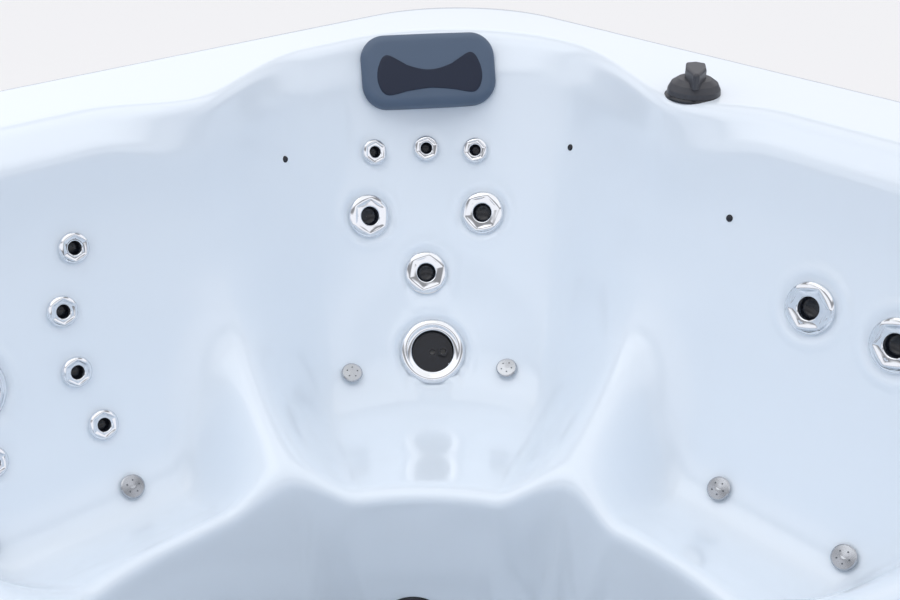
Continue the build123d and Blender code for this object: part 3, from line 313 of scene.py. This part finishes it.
def shell(materials, jets):
    grid = press_seats(shell_grid(), jets)
    rows, columns, _ = grid.shape
    verts = grid.reshape(-1, 3)
    faces = np.array(grid_faces(rows, columns))
    centres = verts[faces].mean(axis=1)
    faces = faces[~in_jet_hole(centres, jets)]
    faces = [tuple(int(v) for v in f[::-1]) for f in faces]
    last = [(rows - 1) * columns + i for i in range(columns)]
    faces.append(tuple(last))
    obj = make("moulded_shell", verts, faces, "tub", "acrylic", materials["acrylic"])
    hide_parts("acrylic_shell")
    return obj


# Materials
def material(name, color, rough=0.5, metal=0.0, coat=0.0, bump=None, noise=0.0, scale=30.0):
    m = bpy.data.materials.new(name)
    m.use_nodes = True
    nodes, links = m.node_tree.nodes, m.node_tree.links
    shader = nodes["Principled BSDF"]
    shader.inputs["Roughness"].default_value = rough
    shader.inputs["Metallic"].default_value = metal
    shader.inputs["Coat Weight"].default_value = coat
    shader.inputs["Coat Roughness"].default_value = 0.05
    shader.inputs["Base Color"].default_value = (*color, 1)
    texture = nodes.new("ShaderNodeTexCoord")
    grain = nodes.new("ShaderNodeTexNoise")
    grain.inputs["Scale"].default_value = scale
    grain.inputs["Detail"].default_value = 4
    links.new(texture.outputs["Object"], grain.inputs["Vector"])
    if noise:
        mix = nodes.new("ShaderNodeMixRGB")
        mix.inputs["Color1"].default_value = (*[c * (1 - noise) for c in color], 1)
        mix.inputs["Color2"].default_value = (*[min(c * (1 + noise), 1) for c in color], 1)
        links.new(grain.outputs["Fac"], mix.inputs["Fac"])
        links.new(mix.outputs["Color"], shader.inputs["Base Color"])
    if bump:
        relief = nodes.new("ShaderNodeBump")
        relief.inputs["Strength"].default_value = bump[0]
        relief.inputs["Distance"].default_value = bump[1]
        links.new(grain.outputs["Fac"], relief.inputs["Height"])
        links.new(relief.outputs["Normal"], shader.inputs["Normal"])
    return m


def make_materials():
    return {
        "acrylic": material("acrylic", (0.80, 0.875, 0.955), 0.16, coat=0.3, noise=0.006, scale=3.0),
        "plastic": material("white_plastic", (0.75, 0.76, 0.77), 0.4, noise=0.03,
                            bump=(0.1, 0.0002), scale=400),
        "cabinet": material("cabinet_panels", (0.065, 0.07, 0.078), 0.5, noise=0.12,
                            bump=(0.3, 0.0006), scale=60),
        "timber": material("frame_timber", (0.42, 0.27, 0.14), 0.7, noise=0.25, bump=(0.3, 0.0006), scale=25),
        "motor": material("motor_paint", (0.02, 0.025, 0.03), 0.35, noise=0.1, bump=(0.1, 0.0002), scale=500),
        "grey": material("grey_plastic", (0.09, 0.095, 0.11), 0.4, noise=0.08, bump=(0.1, 0.0002), scale=600),
        "button": material("button_rubber", (0.27, 0.29, 0.32), 0.6, noise=0.08,
                           bump=(0.1, 0.0002), scale=800),
        "chrome": material("chrome", (0.78, 0.80, 0.83), 0.06, metal=1.0),
        "black": material("black_plastic", (0.008, 0.010, 0.016), 0.25, noise=0.1),
        "dark": material("dark_grey_plastic", (0.05, 0.052, 0.062), 0.4, noise=0.1,
                         bump=(0.1, 0.0002), scale=900),
        "pillow": material("pillow_foam", (0.082, 0.122, 0.188), 0.55, noise=0.05,
                           bump=(0.15, 0.0003), scale=700),
        "insert": material("pillow_insert", (0.006, 0.013, 0.036), 0.62, noise=0.1,
                           bump=(0.1, 0.0002), scale=900),
        "steel": material("stainless", (0.45, 0.47, 0.50), 0.25, metal=1.0),
    }


# Jets: points round a ring, the sides of a face's facetted shoulder and how far it is turned
RING = 120
SIDES = {"small": 6, "medium": 6, "large": 60}
FACET_TURN = 0.3


def ridge(angle, sides, turn):
    """How far a rounded polygon's side lies inside its corners' circle, in one direction."""
    a = ((angle - turn) % (2 * pi / sides)) - pi / sides
    return cos(pi / sides) / cos(a)


def jet_face_mesh(size, seat):
    """Chrome escutcheon: rim, facetted shoulder, dished face and the throat of the opening."""
    face_r, open_r = JETS[size]["face_r"], JETS[size]["open_r"]
    low, top = FLANGE_T, FLANGE_T + FACE_T
    sides = SIDES[size]
    shape = [(face_r - 0.001, 0.0, 0), (face_r, low + 0.001, 0), (face_r - 0.0012, low + 0.0035, 0),
             (0.94 * face_r, top - 0.0012, 0.4), (0.86 * face_r, top, 1.0),
             (0.78 * face_r, top - 0.0002, 1.0), (open_r + 0.34 * (face_r - open_r), top - 0.0018, 0.3),
             (open_r + 0.0022, top - 0.0008, 0), (open_r + 0.0006, top - 0.0014, 0),
             (open_r, top - 0.003, 0), (open_r, -0.012, 0)]
    verts = []
    for r, z, facet in shape:
        for i in range(RING):
            a = 2 * pi * i / RING
            reach = r * (1 - facet * (1 - ridge(a, sides, FACET_TURN)))
            verts.append(seat.matrix() @ Vector((reach * cos(a), reach * sin(a), z)))
    return verts, grid_faces(len(shape), RING)


def jet_core_mesh(size, seat):
    """Dark inside of a jet: the bowl or nozzle behind its opening."""
    open_r = JETS[size]["open_r"]
    shape = [(open_r + 0.0003, 0.002), (open_r * 0.97, -0.006), (open_r * 0.7, -0.010),
             (open_r * 0.35, -0.0115), (0.0002, -0.012)]
    if size == "large":
        shape = [(open_r + 0.0003, 0.002), (open_r * 0.99, -0.010), (open_r * 0.985, -0.018)]
    verts = []
    for r, z in shape:
        for i in range(RING):
            a = 2 * pi * i / RING
            verts.append(seat.matrix() @ Vector((r * cos(a), r * sin(a), z)))
    return verts, grid_faces(len(shape), RING)


def joined(parts):
    verts, faces = [], []
    for v, f in parts:
        start = len(verts)
        verts += v
        faces += [tuple(start + k for k in face) for face in f]
    return verts, faces


def dress_jets(materials, jets):
    for size, count in (("small", 3), ("medium", 3), ("large", 1)):
        of_size = [seat for s, seat in jets if s == size]
        for k in range(count):
            name = f"corner_{size}_jet_{k + 1}"
            face = make(f"{name}_ring", *jet_face_mesh(size, of_size[k]), name, "chrome", materials["chrome"])
            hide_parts(f"corner_{size}_jet_face_{k + 1}")
            make(f"{name}_core", *jet_core_mesh(size, of_size[k]), name, "chrome", materials["black"])
        rest = of_size[count:]
        rings = joined([jet_face_mesh(size, seat) for seat in rest])
        face = make(f"other_{size}_jet_rings", *rings, "tub", "chrome", materials["chrome"])
        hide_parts(f"other_{size}_jet_faces")
        cores = joined([jet_core_mesh(size, seat) for seat in rest])
        make(f"other_{size}_jet_cores", *cores, "tub", "chrome", materials["black"])


# Pillow and its insert, in the plane of the seat's back behind the bather's head
PILLOW_AT = (138.0, 0.872)
PILLOW_W, PILLOW_H, PILLOW_T = 0.257, 0.138, 0.046
PILLOW_ROUND = 0.046
PILLOW_ROLL = 0.017
CROWN_R = 1.5
BOW_TIE = [(-80, 28), (-42, 7), (0, -3), (42, 7), (80, 28), (97, 8), (100, -24), (84, -48),
           (42, -42), (0, -38), (-42, -42), (-84, -48), (-100, -24), (-97, 8)]
BOW_MIDDLE = Vector((0.0, -0.020))
AROUND_PILLOW = 220
ROLL_STEPS = 8
TOP_STEPS = 10
BOW_STEPS = 12
HALVINGS = 24


def pillow_matrices():
    """The places of the two corner pillows, half a turn apart."""
    here = Seat(*PILLOW_AT).matrix()
    return [here, Matrix.Rotation(pi, 4, "Z") @ here]


def crown(x, y):
    return PILLOW_T - (x * x + y * y) / (2 * CROWN_R)


def rounded_outline(inset):
    """Points round the pillow's outline, the given distance inside it."""
    half_w, half_h = PILLOW_W / 2 - inset, PILLOW_H / 2 - inset
    r = max(PILLOW_ROUND - inset, 0.004)
    points = []
    for i in range(AROUND_PILLOW):
        a = 2 * pi * i / AROUND_PILLOW
        far = Vector((cos(a), sin(a))) * 0.3
        low, high = 0.0, 1.0
        for _ in range(HALVINGS):
            t = (low + high) / 2
            x, y = abs(far.x * t), abs(far.y * t)
            dx, dy = max(x - (half_w - r), 0), max(y - (half_h - r), 0)
            inside = x <= half_w and y <= half_h and hypot(dx, dy) <= r
            low, high = (t, high) if inside else (low, t)
        points.append(far * low)
    return points


def pillow_mesh(matrix):
    """Cushion: side wall, rolled edge and crowned front."""
    rows = [(0.003, -0.022, 0), (0.0, 0.004, 0), (0.0, 0.016, 0)]
    for k in range(1, ROLL_STEPS + 1):
        a = k * pi / 2 / ROLL_STEPS
        rows.append((PILLOW_ROLL * (1 - cos(a)), None, PILLOW_ROLL * (1 - sin(a))))
    verts = []
    for inset, height, below in rows:
        for p in rounded_outline(inset):
            z = crown(p.x, p.y) - below if height is None else height
            verts.append(matrix @ Vector((p.x, p.y, z)))
    inner = rounded_outline(PILLOW_ROLL)
    count = len(rows)
    for k in range(TOP_STEPS - 1, 0, -1):
        count += 1
        for p in inner:
            q = p * (k / TOP_STEPS)
            verts.append(matrix @ Vector((q.x, q.y, crown(q.x, q.y))))
    faces = grid_faces(count, AROUND_PILLOW)
    faces.append(tuple((count - 1) * AROUND_PILLOW + i for i in range(AROUND_PILLOW)))
    return verts, faces


def bow_outline():
    """Smooth closed curve through the bow tie's points."""
    knots = [Vector(p) / 1000 for p in BOW_TIE]
    points = []
    for k in range(len(knots)):
        a, b, c, d = (knots[(k + j) % len(knots)] for j in (-1, 0, 1, 2))
        for j in range(BOW_STEPS):
            t = j / BOW_STEPS
            points.append(0.5 * (2 * b + (c - a) * t + (2 * a - 5 * b + 4 * c - d) * t * t
                                 + (3 * b - a - 3 * c + d) * t ** 3))
    return points


def insert_mesh(matrix):
    """Bow-tie pad: its edge tucked into the pillow, its top a little proud."""
    outline = bow_outline()
    rows = [(1.0, -0.0015), (0.99, 0.0004), (0.965, 0.0012)]
    rows += [(k / TOP_STEPS, 0.0014) for k in range(TOP_STEPS - 1, 0, -1)]
    verts = []
    for share, rise in rows:
        for p in outline:
            q = BOW_MIDDLE + (p - BOW_MIDDLE) * share
            verts.append(matrix @ Vector((q.x, q.y, crown(q.x, q.y) + rise)))
    faces = grid_faces(len(rows), len(outline))
    faces.append(tuple((len(rows) - 1) * len(outline) + i for i in range(len(outline))))
    return verts, faces


def pillows(materials):
    places = pillow_matrices()
    cushions = joined([pillow_mesh(place) for place in places])
    cushion = make("pillow_cushions", *cushions, "tub", "pillow", materials["pillow"])
    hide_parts("corner_pillows")
    bow_ties = joined([insert_mesh(place) for place in places])
    pads = make("pillow_pads", *bow_ties, "tub", "insert", materials["insert"])
    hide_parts("pillow_inserts")


# What the CAD's pieces are made of, by words in their names
DRESS = [("cabinet", "cabinet"), ("access_panel", "cabinet"), ("cradle", "timber"), ("frame", "timber"),
         ("injector", "steel"), ("screw", "steel"), ("heater", "steel"), ("light", "black"),
         ("rotor", "black"),
         ("diverter_handle", "dark"), ("diverter", "black"), ("base", "black"), ("blower", "black"),
         ("impeller", "black"), ("wet_end", "black"), ("drain_cap", "black"), ("motor", "motor"),
         ("pump", "motor"), ("panel", "grey"), ("knob", "grey"), ("lid", "grey"), ("cover", "grey"),
         ("handle", "grey"), ("box", "grey"), ("button", "button")]


def clothe_cad(materials):
    """Materials for the CAD nodes that stay in sight."""
    for name, obj in frame["nodes"].items():
        obj.data.materials.clear()
        key = next((slot for word, slot in DRESS if word in name), "plastic")
        obj.data.materials.append(materials[key])


# Stage: the sky's brightness at heights above the horizon, with dark strips that the chrome shows
SKY_LOW = (0.25, 0.27, 0.32, 1)
SKY_TOP = (1, 1, 1, 1)
SKY = [(0.16, 0.18), (0.24, 1.0), (0.50, 1.0), (0.56, 0.30), (0.66, 0.30), (0.74, 1.1)]
SKY_BLUE = 1.04
SKY_STRENGTH = 1.12
FLOOR_HALF = 9.0
FLOOR_GREY = (0.93, 0.93, 0.93)
SOFTBOX_AT = (-1.2, -0.6, 3.2)
SOFTBOX_TILT = -18.0
SOFTBOX_POWER = 12
SOFTBOX_SIZE = 2.5
SENSOR = 36
FAR_END = 50


def sky():
    """Studio surroundings, pale above with dark strips lower down."""
    world = bpy.data.worlds.new("studio")
    bpy.context.scene.world = world
    world.use_nodes = True
    nodes, links = world.node_tree.nodes, world.node_tree.links
    way = nodes.new("ShaderNodeTexCoord")
    split = nodes.new("ShaderNodeSeparateXYZ")
    ramp = nodes.new("ShaderNodeValToRGB")
    links.new(way.outputs["Generated"], split.inputs["Vector"])
    links.new(split.outputs["Z"], ramp.inputs["Fac"])
    links.new(ramp.outputs["Color"], nodes["Background"].inputs["Color"])
    stops = ramp.color_ramp.elements
    stops[0].position, stops[0].color = 0.0, SKY_LOW
    stops[1].position, stops[1].color = 1.0, SKY_TOP
    for place, grey in SKY:
        stops.new(place).color = (grey, grey, grey * SKY_BLUE, 1)
    nodes["Background"].inputs["Strength"].default_value = SKY_STRENGTH


def on_stage(name, data):
    obj = bpy.data.objects.new(name, data)
    bpy.context.scene.collection.objects.link(obj)
    return obj


def ground():
    mesh = bpy.data.meshes.new("floor")
    corners = [(x * FLOOR_HALF, y * FLOOR_HALF, 0) for x, y in ((-1, -1), (1, -1), (1, 1), (-1, 1))]
    mesh.from_pydata(corners, [], [(0, 1, 2, 3)])
    mesh.materials.append(material("floor", FLOOR_GREY, 0.9))
    on_stage("floor", mesh)


def camera():
    view = bpy.data.cameras.new("camera")
    view.lens = LENS
    view.sensor_width = SENSOR
    view.clip_end = FAR_END
    obj = on_stage("camera", view)
    obj.location = CAMERA_AT
    obj.rotation_euler = (radians(90 + CAMERA_PITCH), 0, radians(CAMERA_YAW))
    bpy.context.scene.camera = obj


def softbox():
    light = bpy.data.lights.new("softbox", "AREA")
    light.energy = SOFTBOX_POWER
    light.size = SOFTBOX_SIZE
    lamp = on_stage("softbox", light)
    lamp.location = SOFTBOX_AT
    lamp.rotation_euler = (0, radians(SOFTBOX_TILT), 0)


mats = make_materials()
jets = all_jets()
clothe_cad(mats)
shell(mats, jets)
dress_jets(mats, jets)
pillows(mats)
sky()
ground()
camera()
softbox()
bpy.context.scene.view_settings.view_transform = "Standard"
